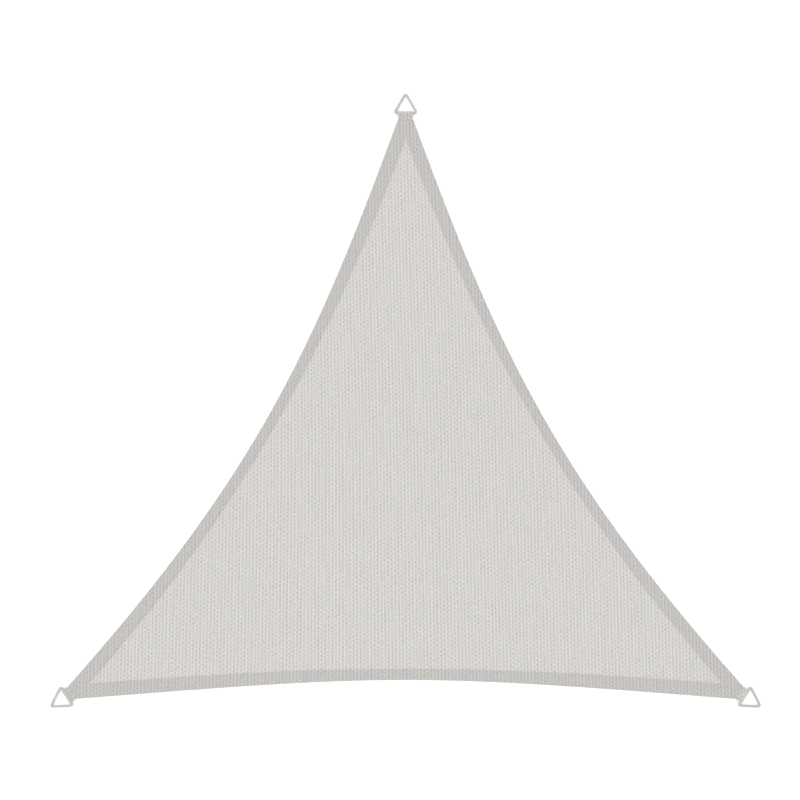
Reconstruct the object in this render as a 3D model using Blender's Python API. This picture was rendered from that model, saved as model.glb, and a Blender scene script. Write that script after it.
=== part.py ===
"""A triangular shade sail that lies flat and face up, 2 m from ring tip to ring tip.

Metres, +Z up, +Y towards the top corner. The origin is under the middle of the sail's
bounding box, on the surface that it lies on. The edges are concave and hemmed, each corner
ends in a cloth loop, and each loop holds a triangular steel ring by one of its sides, the bar.

Each corner has a frame of its own: origin on the surface under the middle of its bar, +X the
way the ring is pulled, away from the cloth, and +Y along the bar.
"""

import math

import bmesh
import bpy
from mathutils import Matrix, Vector, geometry

GAP = 0.0003  # between pieces that touch

# The three bars. The side corners' rings are pulled outwards and a little downwards.
SIDE_BAR_SPAN = 1.912  # between the middles of the two side bars
TOP_BAR_RISE = 1.646  # from the side bars up to the top one
TOP_PULL = math.radians(90)
SIDE_PULL_BELOW_LEVEL = math.radians(33)

# Rings: round wire, bent to an equilateral triangle and welded
WIRE = 0.006
RING_SIDE = 0.064  # of the wire's centre line, before its corners are rounded
RING_CORNER_RADIUS = 0.0045
RING_CORNER_TURN = 120  # degrees that the wire turns at each corner
RING_CORNER_STEPS = 7
RING_BEVEL_RESOLUTION = 6  # 16 sides round the wire

# Cloth
CLOTH_THICK = 0.0012
HEM_THICK = 0.003
CORNER_WIDTH = 0.0425  # of the square end that each corner is cut to
CORNER_TO_BAR = 0.0175  # from that end to the middle of the bar
EDGE_STEPS = 48

# An edge is a cubic curve. Each handle is given by its share of the way along the chord and
# its distance inwards from it. A side edge starts at the top corner.
SIDE_EDGE_HANDLES = ((0.371, 0.122), (0.5795, 0.1576))
BOTTOM_EDGE_HANDLES = ((0.4825, 0.0711), (0.5175, 0.0711))
# how wide the hem is at an edge's two ends and, where it was turned over tighter, in its middle
SIDE_HEM_WIDTHS = (0.038, 0.0287)
BOTTOM_HEM_WIDTHS = (0.040, 0.031)

# Corner loops: a strip goes round the bar, and its ends meet in a flat tail, which is sewn in
# between the layers of the hem
LOOP_WIDTH = 0.042
LOOP_MEETING = 0.0105  # from the bar's middle to where the strip's two sides meet
LOOP_LIFT = 0.0035  # the length over which the loop's underside rises to the tail
LOOP_STEPS = 18
TAIL_WIDTH = 0.035
TAIL_LENGTH = 0.022
LOOP_SHARP_ANGLE = math.radians(35)  # its faces look smooth where they meet at less
SAME_POINT = 1e-6

BAR_HEIGHT = CLOTH_THICK + GAP + WIRE / 2
TAIL_HEIGHT = HEM_THICK / 2  # of the tail's middle

CLOTH_COLOUR = (0.66, 0.65, 0.625, 1)
LOOP_COLOUR = (0.57, 0.555, 0.535, 1)
STEEL_COLOUR = (0.62, 0.62, 0.61, 1)


def remove_all():
    for thing in list(bpy.data.objects):
        bpy.data.objects.remove(thing, do_unlink=True)


def material(name, colour, roughness, metallic):
    made = bpy.data.materials.new(name)
    made.use_nodes = True
    shader = made.node_tree.nodes["Principled BSDF"]
    shader.inputs["Base Color"].default_value = colour
    shader.inputs["Roughness"].default_value = roughness
    shader.inputs["Metallic"].default_value = metallic
    made.diffuse_color = colour
    return made


def add_object(name, data, finish):
    made = bpy.data.objects.new(name, data)
    made.data.materials.append(finish)
    bpy.context.scene.collection.objects.link(made)
    return made


def mesh_from(bm, name, smooth_below=None):
    """The finished mesh, with its faces pointing out, and smooth where they meet at less than an angle."""
    bmesh.ops.recalc_face_normals(bm, faces=bm.faces)
    mesh = bpy.data.meshes.new(name)
    bm.to_mesh(mesh)
    bm.free()
    if smooth_below is not None:
        mesh.shade_smooth()
        mesh.set_sharp_from_angle(angle=smooth_below)
    return mesh


# The rings' outline and the corners' places


def level(angle):
    """The level direction at an angle from +X."""
    return Vector((math.cos(angle), math.sin(angle), 0))


def rounded_triangle():
    """The wire's centre line from the bar's +Y end round, in the ring's plane."""
    middle = Vector((RING_SIDE * math.sqrt(3) / 6, 0, 0))
    sharp_reach = RING_SIDE / math.sqrt(3)  # from the middle to a corner that isn't rounded
    points = []
    for outward in (RING_CORNER_TURN, 2 * RING_CORNER_TURN, 3 * RING_CORNER_TURN):
        centre = middle + level(math.radians(outward)) * (sharp_reach - 2 * RING_CORNER_RADIUS)
        for step in range(RING_CORNER_STEPS + 1):
            turn = outward + RING_CORNER_TURN * (step / RING_CORNER_STEPS - 0.5)
            points.append(centre + RING_CORNER_RADIUS * level(math.radians(turn)))
    return points


def ring_pitch():
    """How far a ring tips down about its bar until its free corner rests on the surface."""
    reach = max(point.x for point in rounded_triangle())
    return math.asin((BAR_HEIGHT - WIRE / 2) / reach)


def ring_reach(pull, direction):
    """How far a ring reaches from the middle of its bar in a level direction, both as angles."""
    turned = Matrix.Rotation(pull, 3, "Z") @ Matrix.Rotation(ring_pitch(), 3, "Y")
    return max((turned @ point).dot(level(direction)) for point in rounded_triangle()) + WIRE / 2


def corner_frames():
    """The place of each corner's frame, anticlockwise from the top."""
    left_pull = math.radians(180) + SIDE_PULL_BELOW_LEVEL
    right_pull = -SIDE_PULL_BELOW_LEVEL
    up = ring_reach(TOP_PULL, math.radians(90))
    down = ring_reach(right_pull, math.radians(-90))
    top_y = (TOP_BAR_RISE + down - up) / 2  # so that the origin is halfway up the bounding box
    side_y = top_y - TOP_BAR_RISE
    return {
        "top": (Vector((0, top_y, 0)), TOP_PULL),
        "left": (Vector((-SIDE_BAR_SPAN / 2, side_y, 0)), left_pull),
        "right": (Vector((SIDE_BAR_SPAN / 2, side_y, 0)), right_pull),
    }


# The sail


def corner_end(frame, side):
    """One end of a corner's square end: side is 1 or -1, along the corner's Y."""
    place, pull = frame
    return place + Matrix.Rotation(pull, 3, "Z") @ Vector((-CORNER_TO_BAR, side * CORNER_WIDTH / 2, 0))


def edge_curve(start, end, handles):
    """A function from 0 to 1 that gives a point of the edge and the direction into the cloth."""
    chord = end - start
    inward = Vector((-chord.y, chord.x, 0)).normalized()
    first, second = (start + chord * along + inward * depth for along, depth in handles)

    def at(t):
        s = 1 - t
        point = s**3 * start + 3 * s * s * t * first + 3 * s * t * t * second + t**3 * end
        run = s * s * (first - start) + 2 * s * t * (second - first) + t * t * (end - second)
        return point, Vector((-run.y, run.x, 0)).normalized()

    return at


def hem_edge(curve, widths, start=0.0, end=1.0):
    """Points of the hem's inner edge over a stretch of the outer one."""
    at_ends, in_middle = widths
    points = []
    for step in range(EDGE_STEPS + 1):
        t = start + (end - start) * step / EDGE_STEPS
        point, inward = curve(t)
        width = in_middle + (at_ends - in_middle) * (1 + math.cos(2 * math.pi * t)) / 2
        points.append(point + inward * width)
    return points


def crossing(first, second):
    """Where two lines of points cross: the share of the way along each, and the place."""
    for i in reversed(range(len(first) - 1)):
        for j in range(len(second) - 1):
            place = geometry.intersect_line_line_2d(
                first[i].xy, first[i + 1].xy, second[j].xy, second[j + 1].xy
            )
            if place is not None:
                along_first = i + (place - first[i].xy).length / (first[i + 1] - first[i]).length
                along_second = j + (place - second[j].xy).length / (second[j + 1] - second[j]).length
                return along_first / EDGE_STEPS, along_second / EDGE_STEPS, place.to_3d()
    raise ValueError("the hems of two edges don't meet")


def sail_edges(frames):
    """The outer line and the hem's inner line of each edge, anticlockwise from the top corner."""
    top, left, right = frames["top"], frames["left"], frames["right"]
    upwards = tuple((1 - along, depth) for along, depth in reversed(SIDE_EDGE_HANDLES))
    curves = [
        edge_curve(corner_end(top, 1), corner_end(left, -1), SIDE_EDGE_HANDLES),
        edge_curve(corner_end(left, 1), corner_end(right, -1), BOTTOM_EDGE_HANDLES),
        edge_curve(corner_end(right, 1), corner_end(top, -1), upwards),
    ]
    hem_widths = (SIDE_HEM_WIDTHS, BOTTOM_HEM_WIDTHS, SIDE_HEM_WIDTHS)
    full = [hem_edge(curve, widths) for curve, widths in zip(curves, hem_widths)]
    meets = [crossing(full[k], full[(k + 1) % 3]) for k in range(3)]
    edges = []
    for k, curve in enumerate(curves):
        _, start, first_tip = meets[k - 1]
        end, _, last_tip = meets[k]
        inner = hem_edge(curve, hem_widths[k], start, end)
        inner[0] = first_tip
        inner[-1] = last_tip
        outer = [curve(step / EDGE_STEPS)[0] for step in range(EDGE_STEPS + 1)]
        edges.append((outer, inner))
    return edges


def sink_pocket(bm, wall):
    """Sinks the slot that takes a loop's tail into the wall at a corner's square end."""
    inward = -wall.normal
    middle = wall.calc_center_median()
    mouth_width = (TAIL_WIDTH + 2 * GAP) / CORNER_WIDTH
    mouth_height = (CLOTH_THICK + 2 * GAP) / HEM_THICK
    mouth = bmesh.ops.extrude_discrete_faces(bm, faces=[wall])["faces"][0]
    for vert in mouth.verts:
        away = vert.co - middle
        vert.co = middle + Vector((away.x * mouth_width, away.y * mouth_width, away.z * mouth_height))
    floor = bmesh.ops.extrude_discrete_faces(bm, faces=[mouth])["faces"][0]
    bmesh.ops.translate(bm, verts=floor.verts, vec=inward * (TAIL_LENGTH + GAP))


def make_sail(frames, finish):
    """The hemmed triangle: one flat sheet, thicker along its hem, with a slot at each corner."""
    bm = bmesh.new()
    rows = []
    for outer, inner in sail_edges(frames):
        base = [bm.verts.new(point) for point in outer]
        top = [bm.verts.new(point + Vector((0, 0, HEM_THICK))) for point in outer]
        step_top = [bm.verts.new(point + Vector((0, 0, HEM_THICK))) for point in inner[:-1]]
        step_foot = [bm.verts.new(point + Vector((0, 0, CLOTH_THICK))) for point in inner[:-1]]
        rows.append((base, top, step_top, step_foot))
    for k in range(3):
        following = rows[(k + 1) % 3]
        rows[k][2].append(following[2][0])
        rows[k][3].append(following[3][0])

    walls = []
    for k, (base, top, step_top, step_foot) in enumerate(rows):
        for i in range(EDGE_STEPS):
            bm.faces.new((base[i], base[i + 1], top[i + 1], top[i]))
            bm.faces.new((top[i], top[i + 1], step_top[i + 1], step_top[i]))
            bm.faces.new((step_top[i], step_top[i + 1], step_foot[i + 1], step_foot[i]))
        next_base, next_top = rows[(k + 1) % 3][:2]
        bm.faces.new((top[-1], next_top[0], step_top[-1]))
        walls.append(bm.faces.new((base[-1], next_base[0], next_top[0], top[-1])))
    bm.faces.new([vert for row in reversed(rows) for vert in reversed(row[0])])
    bm.faces.new([vert for row in rows for vert in row[3][:-1]])
    bmesh.ops.recalc_face_normals(bm, faces=bm.faces)
    for wall in walls:
        sink_pocket(bm, wall)
    return add_object("sail", mesh_from(bm, "sail"), finish)


# The corner loops


def loop_section():
    """The loop's faces in its corner's XZ plane, as lists of points: the strip, then the tail's root."""
    inner_radius = WIRE / 2 + GAP
    outer_radius = inner_radius + CLOTH_THICK
    bar = Vector((0, 0, BAR_HEIGHT))
    slope = 2 * math.atan(inner_radius / LOOP_MEETING)  # of the strip's upper side
    meeting = Vector((-LOOP_MEETING, 0, CLOTH_THICK))
    inner = [meeting]
    outer = [meeting + CLOTH_THICK * Vector((-math.sin(slope), 0, math.cos(slope)))]
    sweep = slope + math.radians(180)
    for step in range(LOOP_STEPS + 1):
        turn = math.radians(90) + slope - sweep * step / LOOP_STEPS
        ray = Vector((math.cos(turn), 0, math.sin(turn)))
        inner.append(bar + ray * inner_radius)
        outer.append(bar + ray * outer_radius)
    outer.append(Vector((-LOOP_MEETING, 0, 0)))
    faces = []
    for i in range(len(inner) - 1):
        faces.append([inner[i], outer[i], outer[i + 1], inner[i + 1]])
    faces.append([inner[-1], outer[-2], outer[-1], meeting])

    tail_top = TAIL_HEIGHT + CLOTH_THICK / 2
    tail_bottom = TAIL_HEIGHT - CLOTH_THICK / 2
    tail_start = -LOOP_MEETING - LOOP_LIFT
    drop = (outer[0].z - tail_top) / math.tan(slope)
    faces.append([
        meeting,
        outer[-1],
        Vector((tail_start, 0, tail_bottom)),
        Vector((-CORNER_TO_BAR + GAP, 0, tail_bottom)),
        Vector((-CORNER_TO_BAR + GAP, 0, tail_top)),
        Vector((outer[0].x - drop, 0, tail_top)),
        outer[0],
    ])
    return faces


def loop_mesh():
    bm = bmesh.new()
    for face in loop_section():
        bm.faces.new([bm.verts.new((point.x, -LOOP_WIDTH / 2, point.z)) for point in face])
    bmesh.ops.remove_doubles(bm, verts=bm.verts, dist=SAME_POINT)
    grown = bmesh.ops.extrude_face_region(bm, geom=bm.faces[:], use_keep_orig=True)["geom"]
    moved = [part for part in grown if isinstance(part, bmesh.types.BMVert)]
    bmesh.ops.translate(bm, verts=moved, vec=(0, LOOP_WIDTH, 0))
    bmesh.ops.recalc_face_normals(bm, faces=bm.faces)

    for side in (-1, 1):
        everything = bm.verts[:] + bm.edges[:] + bm.faces[:]
        cut = Vector((0, side * TAIL_WIDTH / 2, 0))
        bmesh.ops.bisect_plane(bm, geom=everything, plane_co=cut, plane_no=(0, 1, 0))
    back = min(vert.co.x for vert in bm.verts)
    at_back = [face for face in bm.faces if face.calc_center_median().x < back + SAME_POINT]
    root = min(at_back, key=lambda face: abs(face.calc_center_median().y))
    tail = bmesh.ops.extrude_discrete_faces(bm, faces=[root])["faces"][0]
    bmesh.ops.translate(bm, verts=tail.verts, vec=(-TAIL_LENGTH, 0, 0))
    return mesh_from(bm, "corner_loop", smooth_below=LOOP_SHARP_ANGLE)


def make_loop(name, frame, finish):
    place, pull = frame
    loop = add_object("corner_loop_" + name, loop_mesh(), finish)
    loop.location = place
    loop.rotation_euler = (0, 0, pull)
    return loop


# The rings


def make_ring(name, frame, finish):
    """A cyclic curve along the wire's centre line, bevelled to the wire's thickness."""
    place, pull = frame
    curve = bpy.data.curves.new("ring", "CURVE")
    curve.dimensions = "3D"
    curve.bevel_depth = WIRE / 2
    curve.bevel_resolution = RING_BEVEL_RESOLUTION
    points = rounded_triangle()
    spline = curve.splines.new("POLY")
    spline.points.add(len(points) - 1)
    for target, point in zip(spline.points, points):
        target.co = (*point, 1)
    spline.use_cyclic_u = True
    spline.use_smooth = True
    ring = add_object("ring_" + name, curve, finish)
    ring.location = place + Vector((0, 0, BAR_HEIGHT))
    ring.rotation_euler = (0, ring_pitch(), pull)
    return ring


remove_all()
corners = corner_frames()
make_sail(corners, material("knitted_cloth", CLOTH_COLOUR, 0.85, 0.0))
loop_cloth = material("loop_cloth", LOOP_COLOUR, 0.85, 0.0)
ring_steel = material("stainless_steel", STEEL_COLOUR, 0.3, 1.0)
for corner_name, corner_frame in corners.items():
    make_loop(corner_name, corner_frame, loop_cloth)
    make_ring(corner_name, corner_frame, ring_steel)
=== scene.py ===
"""The looks of a triangular shade sail of knitted cloth, lying face up on a plain white floor.

All sizes are in metres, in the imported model's frame: +Z up, +Y towards the top corner and +X
towards the right one. The cloth's underside is at z = 0. An XY place is a numpy pair.
"""

import math

import bpy
import numpy as np
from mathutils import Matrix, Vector
from mathutils.geometry import delaunay_2d_cdt, intersect_line_line_2d


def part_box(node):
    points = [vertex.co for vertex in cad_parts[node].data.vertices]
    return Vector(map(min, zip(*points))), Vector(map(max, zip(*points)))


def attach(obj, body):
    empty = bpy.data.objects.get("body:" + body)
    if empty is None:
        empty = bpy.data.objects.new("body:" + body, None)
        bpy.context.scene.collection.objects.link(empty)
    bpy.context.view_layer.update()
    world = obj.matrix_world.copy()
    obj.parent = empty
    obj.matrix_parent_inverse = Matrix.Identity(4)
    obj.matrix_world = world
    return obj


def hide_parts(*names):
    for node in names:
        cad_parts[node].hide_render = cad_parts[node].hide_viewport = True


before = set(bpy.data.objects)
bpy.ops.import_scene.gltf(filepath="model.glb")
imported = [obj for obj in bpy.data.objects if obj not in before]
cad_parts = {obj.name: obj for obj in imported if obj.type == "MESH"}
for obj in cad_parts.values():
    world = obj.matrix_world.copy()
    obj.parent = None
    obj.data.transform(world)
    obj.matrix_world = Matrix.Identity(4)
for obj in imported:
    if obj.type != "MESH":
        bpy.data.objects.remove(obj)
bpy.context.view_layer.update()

# --- The room ------------------------------------------------------------------------------------
# A long lens looks straight down at the sail, top corner up, from high above. The floor is a white
# light table that glows a little, and the light is that of a white studio tent: even from all round
# and a little stronger from one side. So nearly no shadow shows.

VIEW_MIDDLE = (-0.0155, 0.0021)  # the place under the middle of the picture
VIEW_WIDTH = 2.26  # of the surface that the picture shows
LENS_MM = 85
SENSOR_MM = 36
FLOOR_SIDE = 60
FLOOR_DROP = 0.0005  # the floor is just below the cloth's underside, so that the two don't flicker
FLOOR_WHITE = (0.95, 0.95, 0.95)
FLOOR_ROUGHNESS = 0.9
FLOOR_GLOW = 0.13
TENT_LIGHT = 0.95
SIDE_LIGHT = 0.6
SIDE_LIGHT_SPREAD = math.radians(50)
SIDE_LIGHT_TILT = (math.radians(-12), math.radians(-36))

bpy.ops.object.camera_add(location=(*VIEW_MIDDLE, VIEW_WIDTH * LENS_MM / SENSOR_MM), rotation=(0, 0, 0))
camera = bpy.context.object
camera.name = "camera"
camera.data.lens = LENS_MM
camera.data.sensor_width = SENSOR_MM
bpy.context.scene.camera = camera
bpy.context.scene.view_settings.view_transform = "Standard"

room = bpy.data.worlds.new("white_tent")
room.use_nodes = True
tent = room.node_tree.nodes["Background"]
tent.inputs["Color"].default_value = (1, 1, 1, 1)
tent.inputs["Strength"].default_value = TENT_LIGHT
bpy.context.scene.world = room

bpy.ops.object.light_add(type="SUN", rotation=(*SIDE_LIGHT_TILT, 0))
side_light = bpy.context.object
side_light.name = "side_light"
side_light.data.energy = SIDE_LIGHT
side_light.data.angle = SIDE_LIGHT_SPREAD

bpy.ops.mesh.primitive_plane_add(size=FLOOR_SIDE, location=(0, 0, -FLOOR_DROP))
floor = bpy.context.object
floor.name = "floor"
white = bpy.data.materials.new("light_table")
white.use_nodes = True
table = white.node_tree.nodes["Principled BSDF"]
table.inputs["Base Color"].default_value = (*FLOOR_WHITE, 1)
table.inputs["Roughness"].default_value = FLOOR_ROUGHNESS
table.inputs["Emission Color"].default_value = (1, 1, 1, 1)
table.inputs["Emission Strength"].default_value = FLOOR_GLOW
floor.data.materials.append(white)

# --- The sail's outline --------------------------------------------------------------------------
# The cloth is cut with three hollow edges between three short, square corner ends, one at each
# ring. The hem is turned in along the hollow edges, a little wider towards the corners.

SIDE_BAR_SPAN = 1.912  # between the middles of the two side rings' bars
TOP_BAR_RISE = 1.646  # from those bars up to the top ring's
SIDE_PULL_BELOW_LEVEL = math.radians(33)
CORNER_WIDTH = 0.0425
CORNER_TO_BAR = 0.0175  # from the cloth's square end to the middle of the ring's bar
CORNER_STEPS = 4
EDGE_STEPS = 144
SIDE_EDGE_HANDLES = ((0.371, 0.122), (0.5795, 0.1576))  # share of the chord, and depth in from it
BOTTOM_EDGE_HANDLES = ((0.4825, 0.0711), (0.5175, 0.0711))
SIDE_HEM_WIDTHS = (0.038, 0.0287)  # at the edge's two ends, and in its middle
BOTTOM_HEM_WIDTHS = (0.040, 0.031)
PLACES_AT_ONCE = 2000  # that depth_inside measures, so that its tables stay small

top_bar_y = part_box("sail")[1].y + CORNER_TO_BAR
side_bar_y = top_bar_y - TOP_BAR_RISE
CORNERS = {
    "top": ((0, top_bar_y), math.radians(90)),
    "left": ((-SIDE_BAR_SPAN / 2, side_bar_y), math.radians(180) + SIDE_PULL_BELOW_LEVEL),
    "right": ((SIDE_BAR_SPAN / 2, side_bar_y), -SIDE_PULL_BELOW_LEVEL),
}


def at_corner(corner, outward, across):
    """The XY place so far from the middle of a corner's bar, outward along its pull and across it."""
    bar, pull = CORNERS[corner]
    pull_way = np.array((math.cos(pull), math.sin(pull)))
    bar_way = np.array((-math.sin(pull), math.cos(pull)))
    return np.array(bar) + np.multiply.outer(outward, pull_way) + np.multiply.outer(across, bar_way)


def corner_end(corner, side):
    return at_corner(corner, -CORNER_TO_BAR, side * CORNER_WIDTH / 2)


def hollow_edge(start, end, handles):
    """Places along one hollow edge of the cloth, and at each the direction into the cloth."""
    t = np.linspace(0, 1, EDGE_STEPS + 1)[:, None]
    s = 1 - t
    chord = end - start
    inward = np.array((-chord[1], chord[0])) / np.hypot(*chord)
    first, second = (start + chord * along + inward * depth for along, depth in handles)
    places = s**3 * start + 3 * s * s * t * first + 3 * s * t * t * second + t**3 * end
    run = s * s * (first - start) + 2 * s * t * (second - first) + t * t * (end - second)
    turned = np.stack((-run[:, 1], run[:, 0]), 1)
    return places, turned / np.linalg.norm(turned, axis=1)[:, None]


def hem_edge(edge, widths, further_in):
    """A line along an edge's hem, so far inside its inner edge, that runs on past the next edge's."""
    places, inward = edge
    at_ends, in_middle = widths
    t = np.linspace(0, 1, EDGE_STEPS + 1)[:, None]
    width = in_middle + (at_ends - in_middle) * (1 + np.cos(2 * math.pi * t)) / 2
    return places + inward * (width + further_in)


def line_crossing(first, second):
    """Where the end of one line of places crosses the start of the next: two indexes and the place."""
    for i in range(len(first) - 2, -1, -1):
        for j in range(len(second) // 2):
            met = intersect_line_line_2d(first[i], first[i + 1], second[j], second[j + 1])
            if met:
                return i, j, np.array(met)
    raise ValueError("two lines that should meet don't")


right_edge_handles = tuple((1 - along, depth) for along, depth in reversed(SIDE_EDGE_HANDLES))
edges = [
    hollow_edge(corner_end("top", 1), corner_end("left", -1), SIDE_EDGE_HANDLES),
    hollow_edge(corner_end("left", 1), corner_end("right", -1), BOTTOM_EDGE_HANDLES),
    hollow_edge(corner_end("right", 1), corner_end("top", -1), right_edge_handles),
]
outline = []
for (places, _), (following, _) in zip(edges, edges[1:] + edges[:1]):
    corner_run = np.linspace(places[-1], following[0], CORNER_STEPS + 1)
    outline += [places, corner_run[1:-1]]
outline = np.concatenate(outline)


def step_loop(further_in=0.0):
    """The closed line along the hem's inner edge, or so far inside it."""
    hem_widths = (SIDE_HEM_WIDTHS, BOTTOM_HEM_WIDTHS, SIDE_HEM_WIDTHS)
    lines = [hem_edge(edge, widths, further_in) for edge, widths in zip(edges, hem_widths)]
    tips = [line_crossing(lines[k], lines[(k + 1) % 3]) for k in range(3)]
    loop = []
    for k in range(3):
        starts_after, ends_at = tips[k - 1][1] + 1, tips[k][0] + 1
        loop += [lines[k][starts_after:ends_at], tips[k][2][None]]
    return np.concatenate(loop)


hem_line = step_loop()


def shifted(loop, depth):
    """The closed loop of places moved inwards, with its corners kept sharp."""
    run = np.roll(loop, -1, 0) - loop
    run /= np.linalg.norm(run, axis=1)[:, None]
    normal = np.stack((-run[:, 1], run[:, 0]), 1)
    before = np.roll(normal, 1, 0)
    return loop + depth * (normal + before) / (1 + (normal * before).sum(1))[:, None]


def depth_inside(places, loop):
    """How far each place is inside the closed loop, or minus how far outside."""
    start, run = loop, np.roll(loop, -1, 0) - loop
    found = []
    for part in np.array_split(places, len(places) // PLACES_AT_ONCE + 1):
        away = part[:, None] - start
        along = np.clip((away * run).sum(2) / (run * run).sum(1), 0, 1)
        nearest = np.linalg.norm(away - along[..., None] * run, axis=2).min(1)
        rises = (start[:, 1] <= part[:, 1:]) != (start[:, 1] + run[:, 1] <= part[:, 1:])
        level = np.where(run[:, 1] == 0, 1, run[:, 1])
        to_right = start[:, 0] + away[..., 1] * run[:, 0] / level > part[:, :1]
        inside = (rises & to_right).sum(1) % 2 == 1
        found.append(np.where(inside, nearest, -nearest))
    return np.concatenate(found)


# --- The knit ------------------------------------------------------------------------------------
# Shade net is knitted from fine polyethylene tape. Ribs of chain stitches run up the cloth and snake
# round small eyelets, half a repeat higher in every other column; the colour darkens the eyelets as
# painted shade in their openings. Slanting tapes join the ribs, and between the eyelets they lie
# closer and look lighter. Layers over each other even all this out.

RIB_PITCH = 0.00952
EYELET_PITCH = 0.01232
LEAN = 0.026  # how far the ribs lean to the left for each metre up
LEAN_MIDDLE = (-0.17, -0.03)  # below and to the left of this place they lean the other way
LEAN_FADE = (0.35, 0.12)  # how gradually, across and upwards
DRIFT_ROUNDS = 4  # that find which rib a place is on
SNAKE = 0.08  # how far a rib bends away from an eyelet, in ribs
EYELET_TO_LEFT = 0.18  # of the middle between two ribs, in ribs
EYELET_SHARE = 0.18  # of the cloth, and as much for the places where the tapes lie closer
CHAINS_IN_RIB = 4  # across one rib and the ground beside it
STITCHES_IN_REPEAT = 5
TAPES_IN_REPEAT = 8
STITCH_SLANT = 1.3  # how much higher a stitch's outer end is, in stitches for each chain
TAPE_SLANT = 0.5
KNIT_ROUGHNESS = 0.8
KNIT_SPECULAR = 0.3

# painted light: the panel's tints are lighter than the hem's for the white floor seen through the single,
# sheer layer
PANEL_TINTS = ((0.652, 0.635, 0.609), (0.645, 0.631, 0.624))  # two, because the dye is a little uneven
HEM_TINTS = ((0.551, 0.533, 0.508), (0.543, 0.530, 0.521))
# how much each part of the knit lightens the tints, where the cloth is single and where in layers
LIGHTENS = {
    "rib_tone": (0.112, 0.101),
    # painted shade: each eyelet is an opening, and the colour darkens it for the shade inside it
    "eyelet": (-0.047, -0.037),
    "closer": (0.086, 0.048),  # where the tapes lie closer
    # painted light and shade: each stitch's and tape's round middle lighter, the gap to the next darker
    "thread": (0.09, 0.07),  # each stitch's and tape's middle, against the gap to the next
    "own_shade": (0.16, 0.16),  # of each stitch and tape
    "streak": (0.12, 0.12),  # fine, along the threads
    "grain": (0.17, 0.17),
}
RELIEF = 0.0003
RAISES = {"rib": 0.5, "eyelet": -1.2, "closer": 0.3, "thread": 0.9}  # in shares of the relief
SOFT_STEP = (-0.0007, 0.0007)  # where the layers end, from the hem's inner edge
# the hem's folded rim is darker: painted shade where the fold rounds down, and partly its denser layers
SOFT_RIM = (0.0005, 0.0045)  # how far in the hem's folded rim is denser
RIM_PAINTED_SHADE = 0.035

# soft patches: how many for each rib and each repeat, how far moved to differ, and their detail
PATCHES = {
    "stretch": ((1.0, 0.13), (0.0, 0.0), 1),
    "band": ((0.8, 0.11), (0.0, 37.0), 1),
    "cell": ((1.1, 1.3), (0.0, 71.0), 0),
    "grain": ((1.6, 2.0), (19.0, 0.0), 1),
    "dye": ((0.21, 0.23), (0.0, 11.0), 1),
    "streak": ((24.0, 9.0), (0.0, 0.0), 1),
}
UNEVEN_CELLS = 0.9  # how much the cells reshape the eyelets and the closer tapes
# smooth steps: between which two values and, where two more follow, what those are turned into
OPEN_EYELET = (0.3, 0.75)
CLOSER_TAPES = (-0.25, -0.8)
OPEN_STRETCH = (0.4, 0.56, 0.0, 1.3)
CLOSER_BAND = (0.3, 0.6, 0.3, 1.3)
PLAIN_BAND = (0.7, 0.3, 0.6, 1.4)
CHAIN_SIDE = (0.5, 0.34)
STITCH_FORK = (0.0, 0.1, 0.6, 1.0)
RIB_TO_GROUND = (0.15, -0.25)
DYE_STEP = (0.35, 0.65)
# the least and the most that one eyelet, and one place with closer tapes, stands out
OWN_OPENING = (0.5, 1.5)
OWN_CLOSENESS = (0.2, 1.8)
COUNTED_APART = 300.0  # so that an eyelet and the place above it don't stand out alike


def rib_drift(across, up):
    """How far a rib has drifted sideways from where it crosses the middle of the cloth."""
    side = np.tanh((across - LEAN_MIDDLE[0]) / LEAN_FADE[0])
    rise = up - LEAN_MIDDLE[1]
    above = LEAN_FADE[1] * np.logaddexp(0, rise / LEAN_FADE[1])
    return -LEAN * (side * rise + (1 - side) * above)


def knit_place(ribs, repeats):
    """The XY places of so many ribs and eyelet repeats from the middle of the cloth."""
    across, up = ribs * RIB_PITCH, repeats * EYELET_PITCH
    return np.stack((across + rib_drift(across, up), up), 1)


def knit_count(places):
    """The ribs and eyelet repeats at XY places, as the cloth's own map has them."""
    across = places[:, 0]
    for _ in range(DRIFT_ROUNDS):
        across = places[:, 0] - rib_drift(across, places[:, 1])
    return np.stack((across / RIB_PITCH, places[:, 1] / EYELET_PITCH), 1)


def eyelets(knit):
    """1 in the middle of each eyelet and 0 away from it."""
    ground = np.sin(math.pi * (knit[..., 0] + EYELET_TO_LEFT))
    return np.clip(ground * np.cos(2 * math.pi * knit[..., 1]), 0, 1) * ground**2


# Nodes that make the knit's colour and relief. The map "knit" counts ribs and repeats, and the map
# "from_edges" has the distances inside the hem's inner edge and inside the cloth's outline.


def maths_on(tree):
    """A function that adds one Math node, whose inputs are sockets or numbers, and gives its result."""

    def maths(operation, *inputs):
        node = tree.nodes.new("ShaderNodeMath")
        node.operation = operation
        for socket, value in zip(node.inputs, inputs):
            if isinstance(value, bpy.types.NodeSocket):
                tree.links.new(value, socket)
            else:
                socket.default_value = value
        return node.outputs[0]

    return maths


def eased(tree, value, low, high, low_to=0.0, high_to=1.0):
    """value from low to high turned into low_to to high_to, smoothly."""
    node = tree.nodes.new("ShaderNodeMapRange")
    node.interpolation_type = "SMOOTHSTEP"
    tree.links.new(value, node.inputs["Value"])
    for name, number in (("From Min", low), ("From Max", high), ("To Min", low_to), ("To Max", high_to)):
        node.inputs[name].default_value = number
    return node.outputs["Result"]


def mixed(tree, share, first, second):
    """Two colours, given as numbers or sockets, mixed by the second one's share."""
    node = tree.nodes.new("ShaderNodeMix")
    node.data_type = "RGBA"
    tree.links.new(share, node.inputs["Factor"])
    for name, colour in (("A", first), ("B", second)):
        if isinstance(colour, bpy.types.NodeSocket):
            tree.links.new(colour, node.inputs[name])
        else:
            node.inputs[name].default_value = (*colour, 1)
    return node.outputs["Result"]


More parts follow.
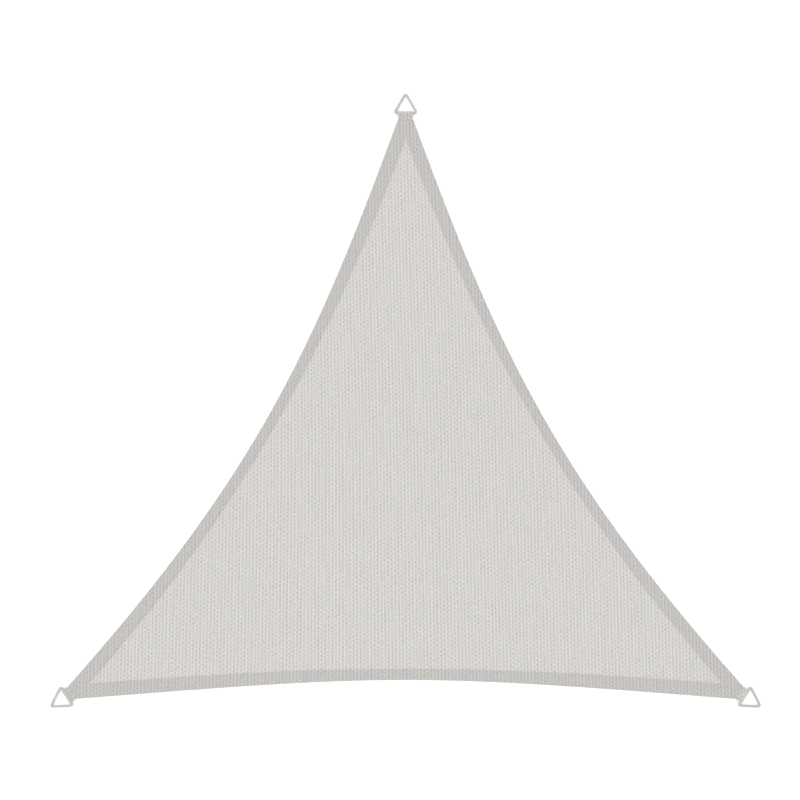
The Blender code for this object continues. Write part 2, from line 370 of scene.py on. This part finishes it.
def map_place(tree, name):
    """The two coordinates of a piece's map."""
    place = tree.nodes.new("ShaderNodeUVMap")
    place.uv_map = name
    apart = tree.nodes.new("ShaderNodeSeparateXYZ")
    tree.links.new(place.outputs[0], apart.inputs[0])
    return apart.outputs["X"], apart.outputs["Y"]


def patches(tree, knit, name):
    """Uneven soft patches from 0 to 1, as the table has them, over the knit's map."""
    many, moved, detail = PATCHES[name]
    maths = maths_on(tree)
    place = tree.nodes.new("ShaderNodeCombineXYZ")
    for axis, count, in_each, start in zip("XY", knit, many, moved):
        tree.links.new(maths("MULTIPLY_ADD", count, in_each, start), place.inputs[axis])
    noise = tree.nodes.new("ShaderNodeTexNoise")
    noise.noise_dimensions = "2D"
    noise.inputs["Scale"].default_value = 1
    noise.inputs["Detail"].default_value = detail
    tree.links.new(place.outputs[0], noise.inputs["Vector"])
    return noise.outputs["Fac"]


def own_shade(tree, row, count):
    """A shade from 0 to 1 that is the same wherever the two counts have the same whole numbers."""
    maths = maths_on(tree)
    place = tree.nodes.new("ShaderNodeCombineXYZ")
    for axis, number in (("X", row), ("Y", count)):
        tree.links.new(maths("FLOOR", number), place.inputs[axis])
    shade = tree.nodes.new("ShaderNodeTexWhiteNoise")
    shade.noise_dimensions = "2D"
    tree.links.new(place.outputs[0], shade.inputs["Vector"])
    return shade.outputs["Value"]


def knit_patterns(tree, knit):
    """The parts of the knit by name, each a pattern that is highest where that part is."""
    across, up = knit
    maths = maths_on(tree)

    def wave(kind, count, turns):
        return maths(kind, maths("MULTIPLY", count, turns * 2 * math.pi))

    # the ribs, and the ground between them: 1 in an eyelet's middle and -1 where the tapes lie closer
    repeat = wave("COSINE", up, 1)
    sway = maths("MULTIPLY", repeat, wave("COSINE", across, 0.5))
    snaking = maths("MULTIPLY_ADD", sway, SNAKE, across)
    rib = wave("COSINE", snaking, 1)
    beside = maths("ADD", across, EYELET_TO_LEFT)
    cell = maths("SUBTRACT", patches(tree, knit, "cell"), 0.5)
    ground = maths("MULTIPLY", repeat, wave("SINE", beside, 0.5))
    ground = maths("MULTIPLY_ADD", cell, UNEVEN_CELLS, ground)

    # every other column of eyelets is half a repeat higher, and its counts are too
    odd = maths("PINGPONG", maths("FLOOR", beside), 1.0)
    counted = maths("MULTIPLY_ADD", odd, 0.5, up)

    def spots(outline, stretches, own, count_from):
        least, most = own
        by_itself = own_shade(tree, beside, maths("ADD", counted, count_from))
        spot = maths("SUBTRACT", eased(tree, ground, *outline), EYELET_SHARE)
        spot = maths("MULTIPLY", spot, stretches)
        return maths("MULTIPLY", spot, maths("MULTIPLY_ADD", by_itself, most - least, least))

    stretch, band = patches(tree, knit, "stretch"), patches(tree, knit, "band")
    # the eyelets' pattern, which the colour darkens as painted shade in their openings
    eyelet = spots(OPEN_EYELET, eased(tree, stretch, *OPEN_STRETCH), OWN_OPENING, 0.5)
    closer = spots(CLOSER_TAPES, eased(tree, band, *CLOSER_BAND), OWN_CLOSENESS, COUNTED_APART)

    # chains of stitches with slanting legs on the ribs, and tapes across the ground. In both, each
    # thread is round, so it is at 1 in its middle and at 0 where it meets the next one, and the colour
    # follows this as painted light on the middle and painted shade in the gap.
    def round_threads(count):
        return maths("ABSOLUTE", wave("SINE", count, 0.5))

    chains = maths("MULTIPLY", snaking, CHAINS_IN_RIB)
    from_chain = maths("PINGPONG", maths("ADD", chains, 0.5), 0.5)
    stitches = maths("MULTIPLY_ADD", up, STITCHES_IN_REPEAT, maths("MULTIPLY", from_chain, -STITCH_SLANT))
    stitch = maths("MULTIPLY", round_threads(stitches), eased(tree, from_chain, *CHAIN_SIDE))
    stitch = maths("MULTIPLY", stitch, eased(tree, from_chain, *STITCH_FORK))
    slanting = maths("MULTIPLY_ADD", maths("PINGPONG", across, 1.0), TAPE_SLANT, up)
    tapes = maths("MULTIPLY", slanting, TAPES_IN_REPEAT)
    on_ground = eased(tree, rib, *RIB_TO_GROUND)

    def either(on_rib, between):
        return maths("MULTIPLY_ADD", on_ground, maths("SUBTRACT", between, on_rib), on_rib)

    def next_ones(row, count):
        after = own_shade(tree, row, maths("ADD", count, 1.0))
        return maths("SUBTRACT", own_shade(tree, row, count), after)

    return {
        "rib": rib,
        "rib_tone": maths("MULTIPLY", rib, eased(tree, band, *PLAIN_BAND)),
        "eyelet": eyelet,
        "closer": closer,
        "thread": maths("SUBTRACT", either(stitch, round_threads(tapes)), 0.5),
        "own_shade": either(next_ones(chains, stitches), next_ones(across, tapes)),
        "streak": maths("SUBTRACT", patches(tree, knit, "streak"), 0.5),
        "grain": maths("SUBTRACT", patches(tree, knit, "grain"), 0.5),
    }


def knitted(name, layered_tints, hemmed=False):
    """The knit in layers or, if it is hemmed, single inside the hem's inner edge."""
    material = bpy.data.materials.new(name)
    material.use_nodes = True
    tree = material.node_tree
    maths = maths_on(tree)
    cloth = tree.nodes["Principled BSDF"]
    cloth.inputs["Roughness"].default_value = KNIT_ROUGHNESS
    cloth.inputs["Specular IOR Level"].default_value = KNIT_SPECULAR
    knit = map_place(tree, "knit")
    patterns = knit_patterns(tree, knit)

    dyed = eased(tree, patches(tree, knit, "dye"), *DYE_STEP)
    colour, layered = mixed(tree, dyed, *layered_tints), 1.0
    if hemmed:
        from_step, from_outline = map_place(tree, "from_edges")
        layered = eased(tree, from_step, *SOFT_STEP, 1, 0)
        colour = mixed(tree, layered, mixed(tree, dyed, *PANEL_TINTS), colour)
    shade = 1.0
    for part, (single, in_layers) in LIGHTENS.items():
        strength = maths("MULTIPLY_ADD", layered, in_layers - single, single)
        shade = maths("MULTIPLY_ADD", patterns[part], strength, shade)
    if hemmed:
        # painted shade along the hem's folded rim, where it rounds down, and partly its denser layers
        shade = maths("MULTIPLY", shade, eased(tree, from_outline, *SOFT_RIM, 1 - RIM_PAINTED_SHADE, 1))
    shaded = tree.nodes.new("ShaderNodeVectorMath")
    shaded.operation = "SCALE"
    tree.links.new(colour, shaded.inputs[0])
    tree.links.new(shade, shaded.inputs["Scale"])
    tree.links.new(shaded.outputs[0], cloth.inputs["Base Color"])

    height = 0.0
    for part, share in RAISES.items():
        height = maths("MULTIPLY_ADD", patterns[part], share, height)
    bump = tree.nodes.new("ShaderNodeBump")
    bump.inputs["Distance"].default_value = RELIEF
    tree.links.new(height, bump.inputs["Height"])
    tree.links.new(bump.outputs[0], cloth.inputs["Normal"])
    return material


# --- The sail ------------------------------------------------------------------------------------
# One sheet of the knit. The hem is the same cloth turned in twice, three layers thick and so less
# sheer and a shade darker. It is softly folded along the outside, and along the inside a seam draws
# it down before it steps down to the panel.

SEAM_FROM_STEP = 0.0032
RIB_HEIGHT = 0.00016
EYELET_DEPTH = 0.00045
POINTS_IN_RIB = 4
POINTS_IN_REPEAT = 2
SPARE_RIBS = 2  # on each side, for how far the ribs drift
# how high the cloth's face is, so far in from the outline: the hem's folded edge
FOLD_PROFILE = ((0, 0.0015), (0.0003, 0.0022), (0.0010, 0.0028), (0.0024, 0.0030))
UNDER_PROFILE = ((0, 0.0015), (0.0004, 0.0007), (0.0014, 0.0))
# how high it is across the hem's inner edge, so far in from that line
STEP_PROFILE = (
    (-0.0070, 0.0030), (-0.0050, 0.0029), (-SEAM_FROM_STEP, 0.0025), (-0.0018, 0.0028), (-0.0007, 0.0026),
    (0.0001, 0.0020), (SOFT_STEP[1], 0.0012),
)
PUCKERS = 0.00012  # the waves that the seam draws the hem into
PUCKER_WAVES = ((140, 60), (70, -150))  # radians for each metre across and up
PUCKERS_FROM_OUTLINE = 0.01  # where they reach their full height
CLEAR_OF_PROFILES = 0.0011
SAME_PLACE = 1e-6
SHARP_FROM = math.radians(60)
BAKE_MARGIN = 0.002


def joined_loops(loops):
    """All the loops' places, and the closed runs of edges that join them."""
    runs, count = [], 0
    for loop in loops:
        runs += [(count + i, count + (i + 1) % len(loop)) for i in range(len(loop))]
        count += len(loop)
    return np.concatenate(loops), runs


def filled(places, runs):
    """The area inside the outermost loop filled with triangles, as places and faces."""
    found = delaunay_2d_cdt([Vector(place) for place in places], runs, [], 1, SAME_PLACE)
    return np.array([tuple(place) for place in found[0]]), found[2]


def interpolated(profile, depth):
    depths, heights = zip(*profile)
    return np.interp(depth, depths, heights)


def cloth_piece(name, points, faces, maps, material):
    """A mesh of cloth as the one selected object, with maps that give each point its two numbers."""
    mesh = bpy.data.meshes.new(name)
    mesh.from_pydata(points.tolist(), [], faces)
    face_corners = np.empty(len(mesh.loops), np.int32)
    mesh.loops.foreach_get("vertex_index", face_corners)
    for map_name, spots in maps.items():
        mesh.uv_layers.new(name=map_name).uv.foreach_set("vector", spots[face_corners].ravel())
    mesh.materials.append(material)
    piece = bpy.data.objects.new(name, mesh)
    bpy.context.scene.collection.objects.link(piece)
    bpy.ops.object.select_all(action="DESELECT")
    bpy.context.view_layer.objects.active = piece
    piece.select_set(True)
    return piece


# the face, with a point on every rib, flank and ground at each half repeat
low, high = outline.min(0), outline.max(0)
first_rib = math.floor(low[0] / RIB_PITCH) - SPARE_RIBS
last_rib = math.ceil(high[0] / RIB_PITCH) + SPARE_RIBS
first_repeat, last_repeat = math.floor(low[1] / EYELET_PITCH), math.ceil(high[1] / EYELET_PITCH)
ribs = np.arange(first_rib * POINTS_IN_RIB, last_rib * POINTS_IN_RIB) / POINTS_IN_RIB
repeats = np.arange(first_repeat * POINTS_IN_REPEAT, last_repeat * POINTS_IN_REPEAT) / POINTS_IN_REPEAT
ribs, repeats = (grid.ravel() for grid in np.meshgrid(ribs, repeats))
knit_points = knit_place(ribs, repeats)
knit_points = knit_points[depth_inside(knit_points, outline) > FOLD_PROFILE[-1][0] + CLEAR_OF_PROFILES]
from_step = depth_inside(knit_points, hem_line)
in_step = (from_step > STEP_PROFILE[0][0] - CLEAR_OF_PROFILES) & (
    from_step < STEP_PROFILE[-1][0] + CLEAR_OF_PROFILES
)
profile_loops = [shifted(outline, depth) for depth, _ in FOLD_PROFILE]
profile_loops += [step_loop(depth) for depth, _ in STEP_PROFILE]
loop_places, loop_runs = joined_loops(profile_loops)
face_places, face_triangles = filled(np.concatenate((loop_places, knit_points[~in_step])), loop_runs)

from_outline, from_step = depth_inside(face_places, outline), depth_inside(face_places, hem_line)
heights = interpolated(STEP_PROFILE, from_step) + interpolated(FOLD_PROFILE, from_outline)
heights -= FOLD_PROFILE[-1][1]
knit = knit_count(face_places)
relief = RIB_HEIGHT * np.cos(2 * math.pi * knit[:, 0]) - EYELET_DEPTH * eyelets(knit)
loose = (from_step > SOFT_STEP[1] + SAME_PLACE) | (from_step < STEP_PROFILE[0][0] - SAME_PLACE)
heights += relief * (loose & (from_outline > FOLD_PROFILE[-1][0] + SAME_PLACE))
waves = np.sin(face_places @ PUCKER_WAVES[0]) * np.sin(face_places @ PUCKER_WAVES[1])
waves *= np.clip(-from_step / SEAM_FROM_STEP, 0, 1) * np.clip(from_outline / PUCKERS_FROM_OUTLINE, 0, 1)
heights += PUCKERS * waves

# the underside, flat on the floor
under_loops = [shifted(outline, depth) for depth, _ in UNDER_PROFILE + ((SOFT_RIM[1], 0.0),)]
under_loops += [step_loop(depth) for depth in SOFT_STEP]
under_places, under_triangles = filled(*joined_loops(under_loops))
under_heights = interpolated(UNDER_PROFILE, depth_inside(under_places, outline))

places = np.concatenate((face_places, under_places))
heights = np.concatenate((heights, under_heights))
under_triangles = [[len(face_places) + i for i in reversed(face)] for face in under_triangles]

# its maps; on the bake's one the two sides, which look the same, lie over each other
from_step = np.clip(depth_inside(places, hem_line), *SOFT_STEP)
from_outline = np.clip(depth_inside(places, outline), 0, SOFT_RIM[1])
laid_out = BAKE_MARGIN + (places - low) / (high - low).max() * (1 - 2 * BAKE_MARGIN)
from_edges = np.column_stack((from_step, from_outline))
maps = {"knit": knit_count(places), "from_edges": from_edges, "OFBake": laid_out}
hemmed_knit = knitted("hemmed_knit", HEM_TINTS, hemmed=True)
points = np.column_stack((places, heights))
sail = cloth_piece("sail_cloth", points, face_triangles + under_triangles, maps, hemmed_knit)
bpy.ops.object.mode_set(mode="EDIT")
bpy.ops.mesh.select_all(action="SELECT")
bpy.ops.mesh.remove_doubles(threshold=SAME_PLACE)
bpy.ops.mesh.tris_convert_to_quads()
bpy.ops.object.mode_set(mode="OBJECT")
bpy.ops.object.shade_smooth_by_angle(angle=SHARP_FROM)
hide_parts("sail")
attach(sail, "root")

# --- The hem's sewing ----------------------------------------------------------------------------
# A row of lockstitch in matching thread runs along the hem's inner edge and holds it down. One
# stitch is shaped, and copies of it follow the edge.

THREAD_COLOUR = (0.60, 0.585, 0.56)
THREAD_ROUGHNESS = 0.7
THREAD_TWISTS = 900
THREAD_TWIST_WOBBLE = 2
THREAD_TONES = (0.82, 1.1)  # between its twists and on them
THREAD_RELIEF = 0.0001
STITCH = (0.0046, 0.0009, 0.0007)  # long, wide and high
STITCH_SIDES = 6
STITCH_RINGS = 4
STITCH_PITCH = 0.0056
STITCH_LIFT = 0.0001
HEM_TOP = FOLD_PROFILE[-1][1]
SEAM_TOP = interpolated(STEP_PROFILE, -SEAM_FROM_STEP)


def twisted_thread(name, colour):
    """Matt sewing thread with a fine twist."""
    material = bpy.data.materials.new(name)
    material.use_nodes = True
    tree = material.node_tree
    thread = tree.nodes["Principled BSDF"]
    thread.inputs["Roughness"].default_value = THREAD_ROUGHNESS
    place = tree.nodes.new("ShaderNodeTexCoord")
    twist = tree.nodes.new("ShaderNodeTexWave")
    twist.bands_direction = "DIAGONAL"
    twist.inputs["Scale"].default_value = THREAD_TWISTS
    twist.inputs["Distortion"].default_value = THREAD_TWIST_WOBBLE
    tree.links.new(place.outputs["Object"], twist.inputs["Vector"])
    darker, lighter = (tuple(tone * c for c in colour) for tone in THREAD_TONES)
    tree.links.new(mixed(tree, twist.outputs["Fac"], darker, lighter), thread.inputs["Base Color"])
    bump = tree.nodes.new("ShaderNodeBump")
    bump.inputs["Distance"].default_value = THREAD_RELIEF
    tree.links.new(twist.outputs["Fac"], bump.inputs["Height"])
    tree.links.new(bump.outputs[0], thread.inputs["Normal"])
    return material


def stitch_row(name, places, height, closed=False):
    """One stitch copied along a line of places, and made one mesh."""
    path = bpy.data.curves.new(name + "_path", "CURVE")
    path.dimensions = "3D"
    path.twist_mode = "Z_UP"
    spline = path.splines.new("POLY")
    spline.points.add(len(places) - 1)
    for point, (x, y) in zip(spline.points, places):
        point.co = (x, y, height, 1)
    spline.use_cyclic_u = closed
    guide = bpy.data.objects.new(name + "_path", path)
    bpy.context.scene.collection.objects.link(guide)

    bpy.ops.object.select_all(action="DESELECT")
    bpy.ops.mesh.primitive_uv_sphere_add(segments=STITCH_SIDES, ring_count=STITCH_RINGS, radius=0.5)
    row = bpy.context.object
    row.name = name
    row.rotation_euler = (0, math.radians(90), 0)
    bpy.ops.object.transform_apply(location=False, rotation=True, scale=False)
    row.scale = STITCH
    bpy.ops.object.transform_apply(location=False, rotation=False, scale=True)
    bpy.ops.object.shade_smooth()
    copies = row.modifiers.new("copies", "ARRAY")
    copies.fit_type = "FIT_CURVE"
    copies.curve = guide
    copies.use_relative_offset = False
    copies.use_constant_offset = True
    copies.constant_offset_displace = (STITCH_PITCH, 0, 0)
    along = row.modifiers.new("along", "CURVE")
    along.object = guide
    along.deform_axis = "POS_X"
    bpy.ops.object.modifier_apply(modifier="copies")
    bpy.ops.object.modifier_apply(modifier="along")
    bpy.data.objects.remove(guide)
    return row


def joined(name, rows, material):
    """Rows of stitches as one piece that rides on the sail."""
    bpy.ops.object.select_all(action="DESELECT")
    for row in rows:
        row.select_set(True)
    bpy.context.view_layer.objects.active = rows[0]
    bpy.ops.object.join()
    piece = bpy.context.object
    piece.name = name
    piece.data.materials.append(material)
    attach(piece, "root")
    return piece


hem_thread = twisted_thread("hem_thread", THREAD_COLOUR)
rows = [stitch_row("hem_row", step_loop(-SEAM_FROM_STEP), SEAM_TOP + STITCH_LIFT, closed=True)]
hem_sewing = joined("hem_sewing", rows, hem_thread)

# --- The corner loops ----------------------------------------------------------------------------
# At each corner a strip of the cloth, cut along its ribs, goes round the ring's bar. Its two ends
# lie flat together between the hem's layers.

# painted light: lighter than the hem's tints, to make up for the shade where the strip curves round the
# bar
LOOP_PAINTED_LIGHT_TINTS = ((0.590, 0.571, 0.545), (0.582, 0.568, 0.558))
LOOP_WIDTH = 0.042
TAIL_WIDTH = 0.040
BAR_HEIGHT = 0.0045  # of the bar's middle above the floor
LOOP_RADIUS = 0.0039  # of the strip's middle, round the bar
LOOP_MEETING = 0.0105  # how far in from the bar the strip's two ends come together
LOOP_THICK = 0.00095
TAIL_THICK = 0.00056
TAIL_LAYERS = (0.0018, 0.0012)  # the heights of its upper and lower end
TAIL_END = 0.0365  # how far in from the bar they reach
LOOP_STEP = 0.001
LOOP_STEPS_ACROSS = 36
BAR_STEPS = 60
LOOP_RELIEF = 0.00009
LOOP_EDGE_ROUNDING = 0.0006


def loop_line():
    """The strip seen from its edge: evenly spaced places (outward, height), and how far along it."""
    bar = np.array((0, BAR_HEIGHT))
    turns = []
    for height, way in zip(TAIL_LAYERS, (-1, 1)):
        meeting = np.array((-LOOP_MEETING, height)) - bar
        spread = math.acos(LOOP_RADIUS / np.hypot(*meeting))
        turns.append(math.atan2(meeting[1], meeting[0]) % (2 * math.pi) + way * spread)
    over = np.linspace(turns[0], turns[1] - 2 * math.pi, BAR_STEPS)
    round_bar = bar + LOOP_RADIUS * np.stack((np.cos(over), np.sin(over)), 1)
    ends = [[(-TAIL_END, height), (-LOOP_MEETING, height)] for height in TAIL_LAYERS]
    line = np.concatenate((ends[0], round_bar, ends[1][::-1]))
    lengths = np.concatenate(((0,), np.cumsum(np.hypot(*np.diff(line, axis=0).T))))
    even = np.linspace(0, lengths[-1], round(lengths[-1] / LOOP_STEP) + 1)
    return np.stack([np.interp(even, lengths, line[:, k]) for k in (0, 1)], 1), even


def out_of_hem(outward):
    """How far the strip has come out of the hem's layers: 0 in them, and 1 from where its ends part."""
    return np.clip((outward + CORNER_TO_BAR) / (CORNER_TO_BAR - LOOP_MEETING), 0, 1)


def strip_thickness(outward):
    return TAIL_THICK + (LOOP_THICK - TAIL_THICK) * out_of_hem(outward)


def make_loop(corner):
    line, lengths = loop_line()
    run = np.gradient(line, axis=0)
    outside = np.stack((-run[:, 1], run[:, 0]), 1) / np.hypot(*run.T)[:, None]
    bent, thick = out_of_hem(line[:, 0]), strip_thickness(line[:, 0])
    half_width = (TAIL_WIDTH + (LOOP_WIDTH - TAIL_WIDTH) * bent) / 2
    # across the strip: its outer side from left to right, then its inner side back
    shares = np.linspace(-1, 1, LOOP_STEPS_ACROSS + 1)
    across = np.concatenate((shares, shares[-2:0:-1]))
    inner = LOOP_STEPS_ACROSS - 1
    side = np.array([0] + [1] * inner + [0] + [-1] * inner)
    spots = half_width[:, None] * across
    along = np.broadcast_to(lengths[:, None], spots.shape)
    knit = np.stack((spots / RIB_PITCH, along / EYELET_PITCH), 2)
    raised = LOOP_RELIEF * (np.cos(2 * math.pi * knit[..., 0]) - eyelets(knit)) * bent[:, None]
    edge = np.clip((1 - np.abs(across)) * half_width[:, None] / LOOP_EDGE_ROUNDING, 0, 1)
    lift = side * (thick[:, None] / 2 * np.sqrt(edge)) + raised * edge
    places = at_corner(corner, line[:, :1] + outside[:, :1] * lift, spots)
    points = np.concatenate((places, (line[:, 1:] + outside[:, 1:] * lift)[..., None]), 2)

    around = len(across)
    faces = [list(range(around))[::-1]]
    for i in range(len(line) - 1):
        for k in range(around):
            a, b = i * around + k, i * around + (k + 1) % around
            faces.append((a, b, b + around, a + around))
    faces.append([(len(line) - 1) * around + k for k in range(around)])
    maps = {"knit": knit.reshape(-1, 2)}
    loop = cloth_piece("loop_cloth_" + corner, points.reshape(-1, 3), faces, maps, loop_knit)
    bpy.ops.object.mode_set(mode="EDIT")
    bpy.ops.mesh.select_all(action="SELECT")
    bpy.ops.mesh.normals_make_consistent(inside=False)
    bpy.ops.object.mode_set(mode="OBJECT")
    bpy.ops.object.shade_smooth_by_angle(angle=SHARP_FROM)
    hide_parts("corner_loop_" + corner)
    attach(loop, "root")


loop_knit = knitted("loop_knit", LOOP_PAINTED_LIGHT_TINTS)
for corner in CORNERS:
    make_loop(corner)

# --- The loops' sewing ---------------------------------------------------------------------------
# A box of stitches through the hem and the strip's ends holds each loop, and one row across the
# strip holds the bar in its fold.

BOX_OUT = (-0.021, -0.0355)  # its near and its far side, outwards from the bar
BOX_HALF_WIDTH = 0.0165
BAR_ROW_OUT = -0.0125
BAR_ROW_HALF_WIDTH = 0.0189
STRIP_TOP = TAIL_LAYERS[0] + strip_thickness(BAR_ROW_OUT) / 2

near, far = BOX_OUT
box = [(near, -1), (near, 1), (far, 1), (far, -1), (near, -1)]
corner_rows = []
for corner in CORNERS:
    for k, sides in enumerate(zip(box, box[1:])):
        run = [at_corner(corner, outward, side * BOX_HALF_WIDTH) for outward, side in sides]
        corner_rows.append(stitch_row(f"box_{corner}_{k}", run, HEM_TOP + STITCH_LIFT))
    run = [at_corner(corner, BAR_ROW_OUT, side * BAR_ROW_HALF_WIDTH) for side in (-1, 1)]
    corner_rows.append(stitch_row("bar_row_" + corner, run, STRIP_TOP + STITCH_LIFT))
corner_thread = twisted_thread("corner_thread", THREAD_COLOUR)
corner_sewing = joined("corner_sewing", corner_rows, corner_thread)

# --- The rings -----------------------------------------------------------------------------------
# Triangular rings of 6 mm stainless wire with rounded corners, one in each loop. The free corner
# rests on the floor.

WIRE = 0.006
RING_SIDE = 0.064  # between the sharp corners of the wire's middle line
RING_CORNER_RADIUS = 0.0045
RING_CORNER_SEGMENTS = 12
WIRE_ROUNDNESS = 10
STEEL_COLOUR = (0.55, 0.55, 0.55)
STEEL_ROUGHNESS = (0.45, 0.58)
CLOUDS = 180  # in a metre, of duller and shinier wire
CLOUD_DETAIL = 6
CLOUD_STEP = (0.3, 0.7)
SCRATCHES = 1400
SCRATCH_DETAIL = 3
SCRATCH_DEPTH = 0.00003


def satin_steel():
    """Stainless wire, tumbled to an even satin with faint scratches."""
    material = bpy.data.materials.new("satin_steel")
    material.use_nodes = True
    tree = material.node_tree
    steel = tree.nodes["Principled BSDF"]
    steel.inputs["Base Color"].default_value = (*STEEL_COLOUR, 1)
    steel.inputs["Metallic"].default_value = 1
    place = tree.nodes.new("ShaderNodeTexCoord")
    cloudy = tree.nodes.new("ShaderNodeTexNoise")
    cloudy.inputs["Scale"].default_value = CLOUDS
    cloudy.inputs["Detail"].default_value = CLOUD_DETAIL
    tree.links.new(place.outputs["Object"], cloudy.inputs["Vector"])
    roughness = eased(tree, cloudy.outputs["Fac"], *CLOUD_STEP, *STEEL_ROUGHNESS)
    tree.links.new(roughness, steel.inputs["Roughness"])
    scratches = tree.nodes.new("ShaderNodeTexNoise")
    scratches.inputs["Scale"].default_value = SCRATCHES
    scratches.inputs["Detail"].default_value = SCRATCH_DETAIL
    tree.links.new(place.outputs["Object"], scratches.inputs["Vector"])
    bump = tree.nodes.new("ShaderNodeBump")
    bump.inputs["Distance"].default_value = SCRATCH_DEPTH
    tree.links.new(scratches.outputs["Fac"], bump.inputs["Height"])
    tree.links.new(bump.outputs[0], steel.inputs["Normal"])
    return material


def make_ring(corner):
    bpy.ops.object.select_all(action="DESELECT")
    bpy.ops.mesh.primitive_circle_add(vertices=3, radius=RING_SIDE / math.sqrt(3))
    ring = bpy.context.object
    ring.name = "ring_wire_" + corner
    # one corner out along +X, and the bar's middle at the origin
    ring.rotation_euler = (0, 0, math.radians(-90))
    ring.location = (RING_SIDE / math.sqrt(12), 0, 0)
    bpy.ops.object.transform_apply(location=True, rotation=True, scale=False)
    bpy.ops.object.mode_set(mode="EDIT")
    bpy.ops.mesh.select_all(action="SELECT")
    bpy.ops.mesh.bevel(
        offset=RING_CORNER_RADIUS * math.sqrt(3), segments=RING_CORNER_SEGMENTS, affect="VERTICES"
    )
    bpy.ops.object.mode_set(mode="OBJECT")
    bpy.ops.object.convert(target="CURVE")
    ring.data.bevel_depth = WIRE / 2
    ring.data.bevel_resolution = WIRE_ROUNDNESS
    bpy.ops.object.convert(target="MESH")
    reach = max(vertex.co.x for vertex in ring.data.vertices) - WIRE / 2
    (x, y), pull = CORNERS[corner]
    ring.rotation_euler = (0, math.asin((BAR_HEIGHT - WIRE / 2) / reach), pull)
    ring.location = (x, y, BAR_HEIGHT)
    bpy.ops.object.transform_apply(location=True, rotation=True, scale=False)
    bpy.ops.object.shade_smooth()
    ring.data.materials.clear()
    ring.data.materials.append(steel)
    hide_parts("ring_" + corner)
    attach(ring, "root")


steel = satin_steel()
for corner in CORNERS:
    make_ring(corner)
